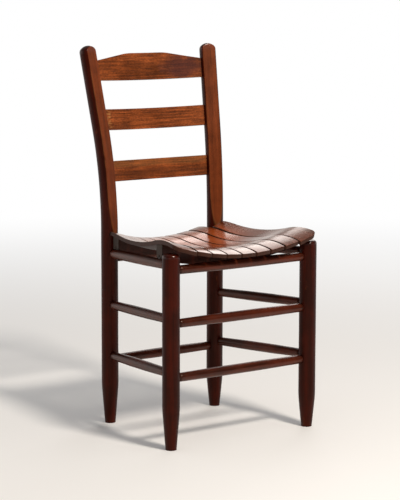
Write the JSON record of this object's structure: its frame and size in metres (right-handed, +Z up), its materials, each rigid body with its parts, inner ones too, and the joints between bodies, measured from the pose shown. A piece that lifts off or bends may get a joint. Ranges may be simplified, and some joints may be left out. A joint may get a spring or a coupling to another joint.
{
  "type": "ladder-back side chair",
  "caption": "Stained wooden side chair with a ladder back of bowed slats, a dished slatted seat on cross-rails, round posts with tapered feet, and turned rungs.",
  "frame": {"origin": "on the floor, at the middle of the chair's outline in plan", "axes": "+Z up, +Y from the front of the seat to the back, +X to the sitter's left"},
  "size_m": [0.467, 0.4518, 0.958],
  "materials": {
    "post_wood": "dark red-brown stain under glossy varnish, worn to warmer brown on the shaved fronts",
    "back_slat_wood": "warm brown stain under glossy varnish, grain showing, scuffed",
    "rung_wood": "dark red-brown stain under glossy varnish",
    "rail_wood": "dark stain, dull",
    "seat_wood": "brown stain under glossy varnish, worn paler along the edges",
    "fastener_steel": "dull wire"
  },
  "bodies": {
    "root": {"back_post_left": "post_wood", "back_post_right": "post_wood", "front_leg_left": "post_wood", "front_leg_right": "post_wood", "top_slat": "back_slat_wood", "middle_slat": "back_slat_wood", "lower_slat": "back_slat_wood", "left_seat_rung": "rung_wood", "left_upper_rung": "rung_wood", "left_lower_rung": "rung_wood", "right_seat_rung": "rung_wood", "right_upper_rung": "rung_wood", "right_lower_rung": "rung_wood", "front_seat_rung": "rung_wood", "front_upper_rung": "rung_wood", "front_lower_rung": "rung_wood", "rear_seat_rung": "rung_wood", "rear_lower_rung": "rung_wood", "front_rail": "rail_wood", "rear_rail": "rail_wood", "seat_slat_1": "seat_wood", "seat_slat_2": "seat_wood", "seat_slat_3": "seat_wood", "seat_slat_4": "seat_wood", "seat_slat_5": "seat_wood", "seat_slat_6": "seat_wood", "seat_slat_7": "seat_wood", "seat_slat_8": "seat_wood", "seat_slat_9": "seat_wood", "seat_screws": "fastener_steel", "rail_nails": "fastener_steel", "slat_pins": "fastener_steel"}
  },
  "joints": []
}
